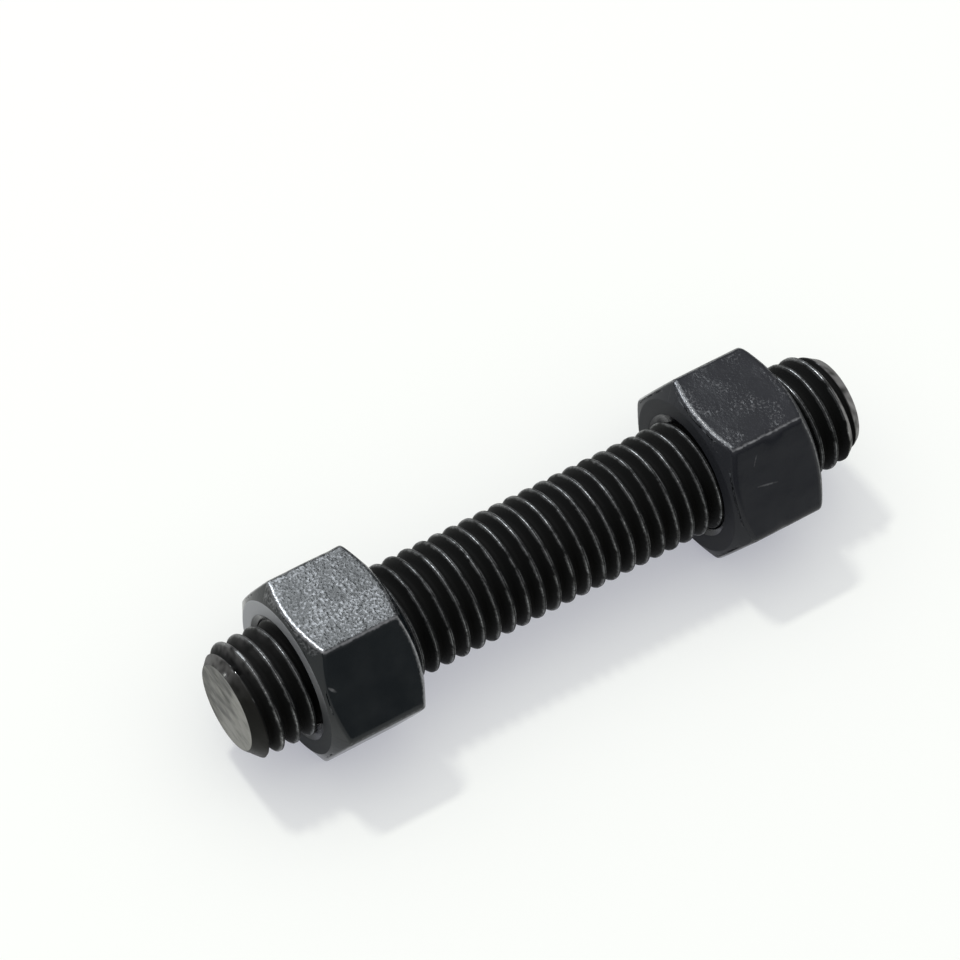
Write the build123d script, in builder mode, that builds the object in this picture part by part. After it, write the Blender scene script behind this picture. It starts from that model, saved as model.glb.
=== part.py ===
from build123d import *
from math import radians, sqrt, tan
import os

# M12 stud bolt, nominally 70 mm long and threaded from end to end, with a hexagon nut on
# each end. The stud lies along X with its middle at the origin. Each nut has one flat level
# on top and one underneath, which the whole assembly lies on. Millimetres.

# Stud
stud_length = 71.0  # sawn within the 1.5 mm that its nominal length allows
crest_diameter = 11.96  # over the thread's crests, M12 with its running allowance taken off
end_face_diameter = 9.3  # flat left inside the end chamfer
end_chamfer_angle = 45.0  # chamfer's wall from the stud's axis

# Nuts
across_flats = 18.0
nut_height = 10.5
near_nut_setback = 6.65  # from the stud's near end to the near nut's outer face
far_nut_setback = 7.35  # from the stud's far end to the far nut's outer face
corner_softness = 0.5  # radius left on the six edges between flats
face_inset = 0.7  # the round bearing face stops this far inside the flats
face_chamfer_angle = 30.0  # chamfer's wall from the bearing face
running_clearance = 0.1  # radial, between the stud's crests and the nut's bore
mouth_width = 0.6  # radial width of the countersink at each end of the bore
mouth_angle = 30.0  # countersink's wall from the bearing face

crest_radius = crest_diameter / 2
bore_radius = crest_radius + running_clearance
near_nut_middle_x = -stud_length / 2 + near_nut_setback + nut_height / 2
far_nut_middle_x = stud_length / 2 - far_nut_setback - nut_height / 2


def turned_nut_blank():
    """Revolve the ring that a hexagon nut is turned to: bore, mouths, faces and chamfers."""
    half_height = nut_height / 2
    face_radius = across_flats / 2 - face_inset
    rim_radius = across_flats / sqrt(3)
    rim_depth = (rim_radius - face_radius) * tan(radians(face_chamfer_angle))
    mouth_radius = bore_radius + mouth_width
    mouth_depth = mouth_width * tan(radians(mouth_angle))
    with BuildPart() as blank:
        with BuildSketch(Plane.XY):
            with BuildLine():
                Polyline(
                    (0, bore_radius),
                    (half_height - mouth_depth, bore_radius),
                    (half_height, mouth_radius),
                    (half_height, face_radius),
                    (half_height - rim_depth, rim_radius),
                    (0, rim_radius),
                )
                mirror(about=Plane.YZ)
            make_face()
        revolve(axis=Axis.X)
    return blank.part


with BuildPart() as stud:
    with BuildSketch(Plane.YZ.offset(-stud_length / 2)):
        Circle(crest_radius)
    extrude(amount=stud_length)
    chamfer_width = crest_radius - end_face_diameter / 2
    chamfer_length = chamfer_width / tan(radians(end_chamfer_angle))
    chamfer(
        stud.faces().filter_by(Axis.X).edges(),
        length=chamfer_length,
        length2=chamfer_width,
    )

with BuildPart() as nut:
    with BuildSketch(Plane.YZ) as bar_section:
        RegularPolygon(across_flats / 2, 6, major_radius=False)
        fillet(bar_section.vertices(), corner_softness)
    extrude(amount=nut_height / 2, both=True)
    add(turned_nut_blank(), mode=Mode.INTERSECT)

with BuildPart() as near_nut:
    with Locations((near_nut_middle_x, 0, 0)):
        add(nut.part)

with BuildPart() as far_nut:
    with Locations((far_nut_middle_x, 0, 0)):
        add(nut.part)

os.makedirs("parts", exist_ok=True)

stud.part.label = "stud"
export_step(stud.part, "parts/stud.step")

near_nut.part.label = "near_nut"
export_step(near_nut.part, "parts/near_nut.step")

far_nut.part.label = "far_nut"
export_step(far_nut.part, "parts/far_nut.step")
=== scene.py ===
"""M12 stud bolt with two hexagon nuts, in oiled black oxide, lying on a pale studio floor.

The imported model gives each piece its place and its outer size. This script winds the true
screw thread on the stud and in both nuts, rounds every edge as forging and tumbling leave it,
and gives each surface its finish. Lengths are metres; sizes read in millimetres times MM.
Angles about the stud's axis run from +Y towards +Z, and fields that hold one are in degrees.
"""

import logging
import math
from dataclasses import dataclass, field
from enum import Enum
from functools import partial
from typing import Any, Callable, Optional, Sequence

import bmesh
import bpy
import numpy as np
from mathutils import Matrix, Vector


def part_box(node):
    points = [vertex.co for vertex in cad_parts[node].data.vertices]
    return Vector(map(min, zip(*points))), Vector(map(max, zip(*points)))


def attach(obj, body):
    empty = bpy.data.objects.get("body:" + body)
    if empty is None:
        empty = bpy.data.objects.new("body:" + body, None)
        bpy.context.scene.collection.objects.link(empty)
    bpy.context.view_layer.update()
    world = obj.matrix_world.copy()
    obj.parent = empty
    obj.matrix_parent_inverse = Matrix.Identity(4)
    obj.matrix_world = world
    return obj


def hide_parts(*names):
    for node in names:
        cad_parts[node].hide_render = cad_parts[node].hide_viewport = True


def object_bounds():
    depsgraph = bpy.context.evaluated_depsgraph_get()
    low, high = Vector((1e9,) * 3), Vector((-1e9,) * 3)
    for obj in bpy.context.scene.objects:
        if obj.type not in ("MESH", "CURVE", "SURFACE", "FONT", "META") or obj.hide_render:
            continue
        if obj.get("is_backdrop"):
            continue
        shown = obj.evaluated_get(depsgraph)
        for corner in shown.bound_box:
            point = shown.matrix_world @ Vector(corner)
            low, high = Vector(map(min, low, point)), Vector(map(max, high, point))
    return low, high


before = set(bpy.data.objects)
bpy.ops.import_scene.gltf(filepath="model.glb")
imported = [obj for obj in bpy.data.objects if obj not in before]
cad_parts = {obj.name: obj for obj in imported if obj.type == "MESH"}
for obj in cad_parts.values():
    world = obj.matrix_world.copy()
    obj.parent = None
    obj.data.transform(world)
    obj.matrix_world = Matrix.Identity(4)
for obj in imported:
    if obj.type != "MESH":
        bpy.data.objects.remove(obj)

MM = 0.001
FULL_TURN = 2.0 * math.pi
VEE = math.radians(60.0)
HALF_VEE = math.radians(30.0)
SIDES = 6
SIDE_DEGREES = 60.0
TOP_FLAT_DEGREES = 90.0
SIDE = math.radians(SIDE_DEGREES)
HALF_SIDE = math.radians(SIDE_DEGREES / 2.0)
TOP_FLAT = math.radians(TOP_FLAT_DEGREES)
log = logging.getLogger("stud_bolt")


# ---- Colours and nodes ----

# A Mix node's sockets go by number, because it has one set of names for each kind of value.
SHARE, NUMBER_A, NUMBER_B, COLOUR_A, COLOUR_B = 0, 2, 3, 6, 7
MIXED_COLOUR = 2


def linear(hex_colour: str) -> tuple[float, float, float, float]:
    """Turn an sRGB hex colour into the linear colour that a shader takes.

    Args:
        hex_colour: Six hex digits after a #.

    Returns:
        Linear red, green, blue and an alpha of 1, by the sRGB standard's curve.
    """
    channels = [int(hex_colour[i:i + 2], 16) / 255.0 for i in (1, 3, 5)]
    curve = [c / 12.92 if c <= 0.04045 else ((c + 0.055) / 1.055) ** 2.4 for c in channels]
    return (curve[0], curve[1], curve[2], 1.0)


def add_node(
    tree: bpy.types.NodeTree,
    kind: str,
    settings: Optional[dict[str, Any]] = None,
    inputs: Optional[dict[Any, Any]] = None,
    out: Any = 0,
) -> Optional[bpy.types.NodeSocket]:
    """Add one node, set it up and link it.

    Args:
        tree: Node tree that the node goes into.
        kind: Blender's type name of the node.
        settings: Node properties by name.
        inputs: Values or output sockets by the input's name or number.
        out: Name or number of the output to hand back.

    Returns:
        That output, or nothing where the node has none.
    """
    node = tree.nodes.new(kind)
    for name, value in (settings or {}).items():
        setattr(node, name, value)
    for name, value in (inputs or {}).items():
        if isinstance(value, bpy.types.NodeSocket):
            tree.links.new(value, node.inputs[name])
        else:
            node.inputs[name].default_value = value
    return node.outputs[out] if node.outputs else None


def new_material(name: str) -> tuple[bpy.types.Material, Callable[..., Any]]:
    """Make a material with no nodes yet.

    Args:
        name: The finish's name.

    Returns:
        The material, and add_node for its node tree.
    """
    material = bpy.data.materials.new(name)
    material.use_nodes = True
    material.node_tree.nodes.clear()
    return material, partial(add_node, material.node_tree)


# ---- Shape helpers ----

def clamp(values: np.ndarray) -> np.ndarray:
    """Hold values between 0 and 1."""
    return np.clip(values, 0.0, 1.0)


def bell(values: np.ndarray, middle: float, width: Any) -> np.ndarray:
    """Return 1 at the middle, falling smoothly to nothing some two widths away."""
    return np.exp(-((values - middle) / width) ** 2)


def soft_step(values: np.ndarray) -> np.ndarray:
    """Return a share that rises smoothly from 0 to 1 as values pass zero."""
    return 0.5 + 0.5 * np.tanh(values)


def uneven(noise: np.ndarray, mean: float, swing: float) -> np.ndarray:
    """Return a share from 0 to 1 that lies about a mean and swings with a noise."""
    return clamp(mean + swing * noise)


@dataclass
class WavyField:
    """Smooth seeded unevenness, the sum of plane waves that run in all directions."""

    seed: int
    shortest: float
    longest: float
    waves: int = 24
    turns: np.ndarray = field(init=False)
    phase: np.ndarray = field(init=False)

    def __post_init__(self) -> None:
        """Draw the waves' directions, lengths and phases once."""
        rng = np.random.default_rng(self.seed)
        direction = rng.normal(size=(self.waves, 3))
        direction /= np.linalg.norm(direction, axis=1)[:, None]
        length = rng.uniform(self.shortest, self.longest, self.waves)
        self.turns = direction * (FULL_TURN / length)[:, None]
        self.phase = rng.uniform(0.0, FULL_TURN, self.waves)

    def at(self, points: np.ndarray) -> np.ndarray:
        """Return the unevenness at each point, mostly between -1 and 1."""
        total = np.zeros(len(points))
        for turn, phase in zip(self.turns, self.phase):
            total += np.sin(points @ turn + phase)
        return total / math.sqrt(self.waves)


@dataclass(frozen=True)
class ThreadForm:
    """ISO metric thread: a 60 degree vee with rolled, rounded crests and roots."""

    crest_radius: float
    pitch: float = 1.75 * MM
    phase: float = -0.43 * MM
    nominal_radius: float = 6.0 * MM
    crest_rounding: float = 0.16 * MM
    root_rounding: float = 0.25 * MM
    crest_steps: tuple[float, ...] = (20.0, 40.0, 60.0)
    flank_steps: int = 4
    root_step: float = 0.45

    @property
    def crest_half(self) -> float:
        """Half the crest's width, a sixteenth of the pitch and more where it is rolled short."""
        return self.pitch / 16.0 + (self.nominal_radius - self.crest_radius) * math.tan(HALF_VEE)

    @property
    def arc_start(self) -> float:
        """Distance from the crest's middle to where its rounding starts."""
        return self.crest_half - self.crest_rounding * math.tan(HALF_VEE)

    def drop(self, offset: np.ndarray) -> np.ndarray:
        """Give the thread's depth below its crest line.

        Args:
            offset: Distance from the crest's middle along the axis, 0 to half a pitch.

        Returns:
            Radial depth below the crest.
        """
        slope = math.tan(VEE)
        arc_end = self.arc_start + self.crest_rounding * math.sin(VEE)
        in_arc = np.clip(offset - self.arc_start, 0.0, self.crest_rounding)
        depth = self.crest_rounding - np.sqrt(self.crest_rounding ** 2 - in_arc ** 2)
        depth = np.where(offset > arc_end, (offset - self.crest_half) * slope, depth)
        sharp_root = (self.pitch / 2.0 - self.crest_half) * slope
        from_root = self.pitch / 2.0 - offset
        in_root = from_root < self.root_rounding * math.cos(HALF_VEE)
        arc = np.sqrt(np.clip(self.root_rounding ** 2 - from_root ** 2, 0.0, None))
        return np.where(in_root, sharp_root - 2.0 * self.root_rounding + arc, depth)

    def across(self, x: np.ndarray, angle: np.ndarray) -> np.ndarray:
        """Give the distance along the axis from the middle of the nearest crest.

        Args:
            x: Places along the axis.
            angle: Angles about the axis.

        Returns:
            Signed distances, up to half a pitch each way. The thread is right hand.
        """
        turns = (x - self.phase) / self.pitch - angle / FULL_TURN
        return (turns - np.round(turns)) * self.pitch

    def radius(self, x: np.ndarray, angle: np.ndarray) -> np.ndarray:
        """Return the thread's radius at places along and angles about the axis."""
        return self.crest_radius - self.drop(np.abs(self.across(x, angle)))

    def stations(self) -> np.ndarray:
        """List the places across one pitch, from a crest's middle, that draw the profile well.

        Returns:
            Distances from 0 to a little under one pitch.
        """
        half_pitch = self.pitch / 2.0
        start = self.arc_start
        arc = self.crest_rounding * np.sin(np.radians(self.crest_steps))
        root_start = half_pitch - self.root_rounding * math.cos(HALF_VEE)
        flank = np.linspace(start + arc[-1], root_start, self.flank_steps)[1:]
        root = half_pitch - self.root_rounding * self.root_step
        half = np.concatenate([[0.0, start / 2.0, start], start + arc, flank, [root]])
        return np.concatenate([half, [half_pitch], self.pitch - half[:0:-1]])


def rounded_corner(
    before: np.ndarray, corner: np.ndarray, after: np.ndarray, radius: float, steps: int
) -> np.ndarray:
    """Round a corner of many sections at once.

    Args:
        before: Points that the sections come from, one (x, r) row for each section.
        corner: The sharp corners, in the same rows.
        after: Points that the sections go to.
        radius: Radius of the rounding.
        steps: Number of chords along it.

    Returns:
        Array of steps + 1 rows of points, from the first tangent point to the last.
    """
    back = before - corner
    onward = after - corner
    back /= np.linalg.norm(back, axis=1)[:, None]
    onward /= np.linalg.norm(onward, axis=1)[:, None]
    between = np.arccos(np.clip((back * onward).sum(1), -1.0, 1.0))
    reach = (radius / np.tan(between / 2.0))[:, None]
    middle = back + onward
    middle /= np.linalg.norm(middle, axis=1)[:, None]
    centre = corner + middle * (radius / np.sin(between / 2.0))[:, None]
    sweep = math.pi - between
    first_spoke, last_spoke = corner + back * reach - centre, corner + onward * reach - centre
    rows = []
    for step in range(steps + 1):
        first_weight = np.sin((1.0 - step / steps) * sweep) / np.sin(sweep)
        last_weight = np.sin(step / steps * sweep) / np.sin(sweep)
        rows.append(centre + first_spoke * first_weight[:, None] + last_spoke * last_weight[:, None])
    return np.stack(rows)


def round_the_axis(x: np.ndarray, radius: np.ndarray, angle: np.ndarray) -> np.ndarray:
    """Turn places along, out from and about the axis into points, one row each."""
    return np.stack([x, radius * np.cos(angle), radius * np.sin(angle)], -1).reshape(-1, 3)


def shade_smooth(mesh: bpy.types.Mesh) -> None:
    """Shade every face of a mesh smooth."""
    mesh.polygons.foreach_set("use_smooth", np.ones(len(mesh.polygons), dtype=bool))
    mesh.update()


def mesh_object(name: str, points: np.ndarray, faces: Sequence[Sequence[int]]) -> bpy.types.Object:
    """Make a smooth-shaded mesh object and put it in the scene.

    Args:
        name: The piece's name.
        points: Vertex places, one row each.
        faces: Vertex numbers of each face.

    Returns:
        The new object.
    """
    mesh = bpy.data.meshes.new(name)
    mesh.from_pydata(points.tolist(), [], [list(map(int, face)) for face in faces])
    shade_smooth(mesh)
    obj = bpy.data.objects.new(name, mesh)
    bpy.context.scene.collection.objects.link(obj)
    return obj


def vertex_places(mesh: bpy.types.Mesh) -> np.ndarray:
    """Return the mesh's vertex places, one row each."""
    places = np.zeros(len(mesh.vertices) * 3)
    mesh.vertices.foreach_get("co", places)
    return places.reshape(-1, 3)


def store(obj: bpy.types.Object, marks: dict[str, np.ndarray]) -> None:
    """Write named numbers for each vertex, which a finish can read.

    Args:
        obj: The piece.
        marks: One value for each vertex, by the mark's name.
    """
    for name, values in marks.items():
        attribute = obj.data.attributes.new(name, "FLOAT", "POINT")
        attribute.data.foreach_set("value", values.astype(np.float32))


# ---- Finishes ----

@dataclass(frozen=True)
class Noise:
    """A noise pattern: how large its grains are, and how much finer grain it carries."""

    size: float
    detail: float
    roughness: float

    def inputs(self, place: bpy.types.NodeSocket) -> dict[str, Any]:
        """Return the Noise node's inputs for the pattern at a place."""
        return {
            "Vector": place, "Scale": 1.0 / self.size, "Detail": self.detail, "Roughness": self.roughness,
        }


@dataclass(frozen=True)
class RolledThreadOxide:
    """Black oxide on a cold rolled steel thread.

    The oxide grows rough and dead black down in the thread. The dies burnish the crests, and
    the nuts rub the shoulders that they bear on to grey steel; that grey line along each
    crest's outer shoulder, and the grey on the near end's upper first turns, also carry a
    painted highlight. The ends were sheared and chamfered before the dip, and keep a thin
    olive grey skin, paler on one side partly as a painted reflection.
    """

    # To the eye: dead black grooves between thin grey lines, worn steel with a painted highlight,
    # that break into short bright peaks, and flat ends in a dull, streaked olive grey.
    name: str = "black_oxide_rolled_thread"
    root: str = "#050504"
    crest: str = "#0d0e0e"
    chamfer: str = "#151513"
    # The sheared face's two tones; the paler one is partly burnish and partly a painted reflection on one
    # side of the face.
    sheared_dark: str = "#3a3a36"
    sheared_light: str = "#7a7974"
    # Rubbed steel on the crests; on each crest's outer shoulder and on the first turns' knocked tops it
    # also paints a highlight.
    rubbed_and_sheen: str = "#6a6b6c"
    struck: str = "#d0d0ce"
    # Scraped grey steel; round the near end's upper back it is partly a painted highlight.
    scraped: str = "#8a8989"
    # The oxide's own grain, some 0.02 mm, is too fine to show and is drawn as fine as shows.
    grain: Noise = Noise(0.25 * MM, 3.0, 0.6)
    # The shear drags marks 0.5 to 1 mm wide, and three times as long, down the face.
    streak: Noise = Noise(0.75 * MM, 5.0, 0.55)
    streak_length: float = 0.3
    streak_lean: float = -62.0
    relief: float = 0.025 * MM
    relief_strength: float = 0.4
    streak_relief: float = 1.5
    # How much paler the burnished side is, which is partly a painted reflection.
    burnish_and_reflection_lift: float = 0.22
    # Where each noise starts to show its second colour, and where it is all second colour.
    rubbed_range: tuple[float, float] = (0.10, 0.42)
    struck_range: tuple[float, float] = (0.48, 0.66)
    patch_range: tuple[float, float] = (0.44, 0.72)
    # Typical roughness: 0.9 for a dead oxide, 0.4 to 0.5 for an oiled one, 0.25 for rubbed steel.
    root_roughness: float = 0.9
    crest_roughness: float = 0.48
    skin_roughness: float = 0.4
    rubbed_roughness: float = 0.24
    # The porous oxide mirrors little, far less than oiled oxide on a smooth flat.
    gloss: float = 0.1

    def material(self) -> bpy.types.Material:
        """Build the finish's node material.

        Returns:
            The material.
        """
        material, add = new_material(self.name)
        height, shoulder, chamfer, sheared, burnished, scraped = (
            add("ShaderNodeAttribute", {"attribute_name": mark}, out="Fac")
            for mark in ("height", "shoulder", "chamfer", "sheared", "burnished", "scraped")
        )
        place = add("ShaderNodeTexCoord", out="Object")
        drawn = add("ShaderNodeMapping", None, {
            "Vector": place, "Rotation": (math.radians(self.streak_lean), 0.0, 0.0),
            "Scale": (1.0, self.streak_length, 1.0),
        })
        grain, streak = (
            add("ShaderNodeTexNoise", None, noise.inputs(where), "Fac")
            for noise, where in ((self.grain, place), (self.streak, drawn))
        )
        # The crests' rub, which also carries the painted highlight along the outer shoulders.
        rub = add("ShaderNodeMath", {"operation": "MULTIPLY"}, {0: shoulder, 1: grain})
        # The burnished side, partly a painted reflection, lifts the sheared face's grey.
        grey, relief = (
            add("ShaderNodeMath", {"operation": "MULTIPLY_ADD"}, {0: value, 1: lift, 2: base})
            for value, lift, base in (
                (burnished, self.burnish_and_reflection_lift, streak), (streak, self.streak_relief, grain),
            )
        )
        rubbed_and_sheen, struck, patch = (
            add("ShaderNodeMapRange", None, {"Value": value, "From Min": low, "From Max": high})
            for value, (low, high) in (
                (rub, self.rubbed_range), (rub, self.struck_range), (grey, self.patch_range),
            )
        )
        steel, shear_grey = (
            add("ShaderNodeMix", {"data_type": "RGBA"}, {
                SHARE: share, COLOUR_A: linear(first), COLOUR_B: linear(second),
            }, MIXED_COLOUR)
            for share, first, second in (
                (struck, self.rubbed_and_sheen, self.struck), (patch, self.sheared_dark, self.sheared_light),
            )
        )
        colour = linear(self.root)
        for share, layer in (
            (height, linear(self.crest)), (chamfer, linear(self.chamfer)), (sheared, shear_grey),
            (scraped, linear(self.scraped)), (rubbed_and_sheen, steel),
        ):
            mixed = {SHARE: share, COLOUR_A: colour, COLOUR_B: layer}
            colour = add("ShaderNodeMix", {"data_type": "RGBA"}, mixed, MIXED_COLOUR)
        rough = add("ShaderNodeMapRange", None, {
            "Value": height, "To Min": self.root_roughness, "To Max": self.crest_roughness,
        })
        for share, layer in (
            (chamfer, self.skin_roughness), (rubbed_and_sheen, self.rubbed_roughness), (sheared, self.skin_roughness),
        ):
            mixed = {SHARE: share, NUMBER_A: rough, NUMBER_B: layer}
            rough = add("ShaderNodeMix", {"data_type": "FLOAT"}, mixed)
        shader = add("ShaderNodeBsdfPrincipled", None, {
            "Base Color": colour,
            "Metallic": add("ShaderNodeMath", {"operation": "MAXIMUM"}, {0: rubbed_and_sheen, 1: sheared}),
            "Roughness": rough,
            "Specular IOR Level": self.gloss,
            "Normal": add("ShaderNodeBump", None, {
                "Height": relief, "Strength": self.relief_strength, "Distance": self.relief,
            }),
        })
        add("ShaderNodeOutputMaterial", None, {"Surface": shader})
        return material


@dataclass(frozen=True)
class Scuff:
    """A light rub mark: a long thin ellipse of broken fine scratches on a nut's flat.

    Lengths are metres. The mark's middle and direction are in the shared frame.
    """

    middle: Vector
    direction: Vector
    length: float
    width: float
    weight: float

    def turn(self) -> tuple[float, float, float]:
        """Return the rotation that lays the X axis along the mark."""
        along = self.direction.normalized()
        return (0.0, -math.asin(along.z), math.atan2(along.y, along.x))


@dataclass(frozen=True)
class ForgedOxide:
    """Oiled black oxide on a hot forged nut.

    The flats keep the fine pebbled skin of forging scale, which breaks a reflection into
    specks. The faces were turned and are smoother. Edges are worn to grey steel, and so is
    the upper part of each face, which also stands in for a painted reflection.
    """

    # To the eye: a blue black that mirrors softly, all grey glitter where a flat faces the
    # light, with thin ragged bright lines along the edges that were rubbed.
    name: str
    scuffs: tuple[Scuff, ...]
    oxide: str
    gloss: float
    # How much of each face's upper part is bare steel, which is partly a painted reflection.
    face_wear_and_reflection: float
    raggedness: float
    # Bare steel on worn edges, specks and scuffs, and on the faces' upper part, where it is partly a
    # painted reflection.
    rubbed_and_sheen: str = "#9c9da0"
    # Forging scale leaves pebbles of 0.3 to 0.5 mm.
    pebble: Noise = Noise(0.42 * MM, 2.0, 0.55)
    # The glints on the pebbles, some 0.1 mm, are too fine to show and are drawn coarser.
    speck: Noise = Noise(0.28 * MM, 1.0, 0.5)
    # The oil dries in clouds a few millimetres across.
    cloud: Noise = Noise(3.2 * MM, 3.0, 0.6)
    relief: float = 0.062 * MM
    relief_strength: float = 0.9
    speck_relief: float = 0.35
    # Where each noise starts to show and where it is full, and then its level when full.
    kept_range: tuple[float, float] = (0.35, 0.62)
    edge_range: tuple[float, float, float] = (0.3, 0.8, 0.8)
    speck_range: tuple[float, float, float] = (0.43, 0.72, 0.36)
    scuff_range: tuple[float, float] = (0.10, 0.45)
    # Typical roughness: 0.15 to 0.25 for oil on a smooth flat, 0.6 for a turned, dipped face.
    oil_range: tuple[float, float] = (0.35, 0.65)
    oil_roughness: tuple[float, float] = (0.15, 0.24)
    turned_roughness: float = 0.62

    def material(self) -> bpy.types.Material:
        """Build the finish's node material.

        Returns:
            The material.
        """
        material, add = new_material(self.name)
        place = add("ShaderNodeTexCoord", out="Object")
        edge, pebbled, turned, handled = (
            add("ShaderNodeAttribute", {"attribute_name": mark}, out="Fac")
            for mark in ("edge", "pebbled", "turned", "handled")
        )
        pebble, speck, cloud = (
            add("ShaderNodeTexNoise", None, noise.inputs(place), "Fac")
            for noise in (self.pebble, self.speck, self.cloud)
        )
        blots = []
        for scuff in self.scuffs:
            local = add("ShaderNodeMapping", {"vector_type": "TEXTURE"}, {
                "Vector": place, "Location": scuff.middle, "Rotation": scuff.turn(),
                "Scale": (scuff.length, scuff.width, scuff.width),
            })
            ball = {"gradient_type": "SPHERICAL"}
            blots.append(add("ShaderNodeTexGradient", ball, {"Vector": local}, "Fac"))
        relief = add("ShaderNodeMath", {"operation": "MULTIPLY_ADD"}, {
            0: speck, 1: self.speck_relief, 2: pebble,
        })
        kept, rough = (
            add("ShaderNodeMapRange", None, {
                "Value": value, "From Min": low, "From Max": high, "To Min": least, "To Max": most,
            })
            for value, (low, high), (least, most) in (
                (pebble, self.kept_range, (1.0 - self.raggedness, 1.0)),
                (cloud, self.oil_range, self.oil_roughness),
            )
        )
        ragged, skinned, skin, face, *broken = (
            add("ShaderNodeMath", {"operation": "MULTIPLY"}, {0: first, 1: second})
            for first, second in (
                (edge, kept), (speck, pebbled), (relief, pebbled), (handled, self.face_wear_and_reflection),
                *((blot, speck) for blot in blots),
            )
        )
        # The bare upper part of a face, partly a painted reflection, starts the bare share.
        bare = face
        for value, (low, high, most) in (
            (ragged, self.edge_range), (skinned, self.speck_range),
            *((mark, (*self.scuff_range, scuff.weight)) for mark, scuff in zip(broken, self.scuffs)),
        ):
            shown = add("ShaderNodeMapRange", None, {
                "Value": value, "From Min": low, "From Max": high, "To Max": most,
            })
            bare = add("ShaderNodeMath", {"operation": "MAXIMUM"}, {0: bare, 1: shown})
        mixed = {SHARE: bare, COLOUR_A: linear(self.oxide), COLOUR_B: linear(self.rubbed_and_sheen)}
        roughened = {SHARE: turned, NUMBER_A: rough, NUMBER_B: self.turned_roughness}
        shader = add("ShaderNodeBsdfPrincipled", None, {
            "Base Color": add("ShaderNodeMix", {"data_type": "RGBA"}, mixed, MIXED_COLOUR),
            "Metallic": bare,
            "Roughness": add("ShaderNodeMix", {"data_type": "FLOAT"}, roughened),
            "Specular IOR Level": self.gloss,
            "Normal": add("ShaderNodeBump", None, {
                "Height": skin, "Strength": self.relief_strength, "Distance": self.relief,
            }),
        })
        add("ShaderNodeOutputMaterial", None, {"Surface": shader})
        return material


@dataclass(frozen=True)
class MatteCard:
    """Uncoated paper board under the bolt."""

    # To the eye: an even, nearly white floor with no gloss, which keeps the bolt's shadow.
    name: str = "matte_card"
    colour: str = "#c7c9bd"
    # What the camera and the mirroring steel see on top of the lit board.
    glow: str = "#9e9faa"
    roughness: float = 0.9

    def material(self) -> bpy.types.Material:
        """Build the finish's node material.

        Returns:
            The material.
        """
        material, add = new_material(self.name)
        seen = add("ShaderNodeLightPath", out="Is Camera Ray")
        for ray in ("Is Glossy Ray", "Is Transmission Ray"):
            also = add("ShaderNodeLightPath", out=ray)
            seen = add("ShaderNodeMath", {"operation": "MAXIMUM"}, {0: seen, 1: also})
        shader = add("ShaderNodeBsdfPrincipled", None, {
            "Base Color": linear(self.colour), "Roughness": self.roughness, "Specular IOR Level": 0.0,
            "Emission Color": linear(self.glow), "Emission Strength": seen,
        })
        add("ShaderNodeOutputMaterial", None, {"Surface": shader})
        return material


# ---- Pieces ----

class End(Enum):
    """The stud's two ends, by the direction that each faces along X."""

    NEAR = -1
    FAR = 1


@dataclass(frozen=True)
class Nick:
    """A dent knocked into the near end's first thread.

    It lies inset from the end and at an angle about the axis. A depth below nothing is a lip of
    bare steel that the knock pushed up.
    """

    inset: float
    angle: float
    reach: float
    depth: float


@dataclass(frozen=True)
class WornArc:
    """A stretch round the thread that is worn, most at one angle about the axis; in the knocks and the near
    scrape it also carries a painted highlight.
    """

    level: float
    angle: float
    spread: float

    def at(self, angle: np.ndarray) -> np.ndarray:
        """Return the wear at angles about the axis."""
        return self.level * bell(angle, math.radians(self.angle), math.radians(self.spread))


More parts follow.
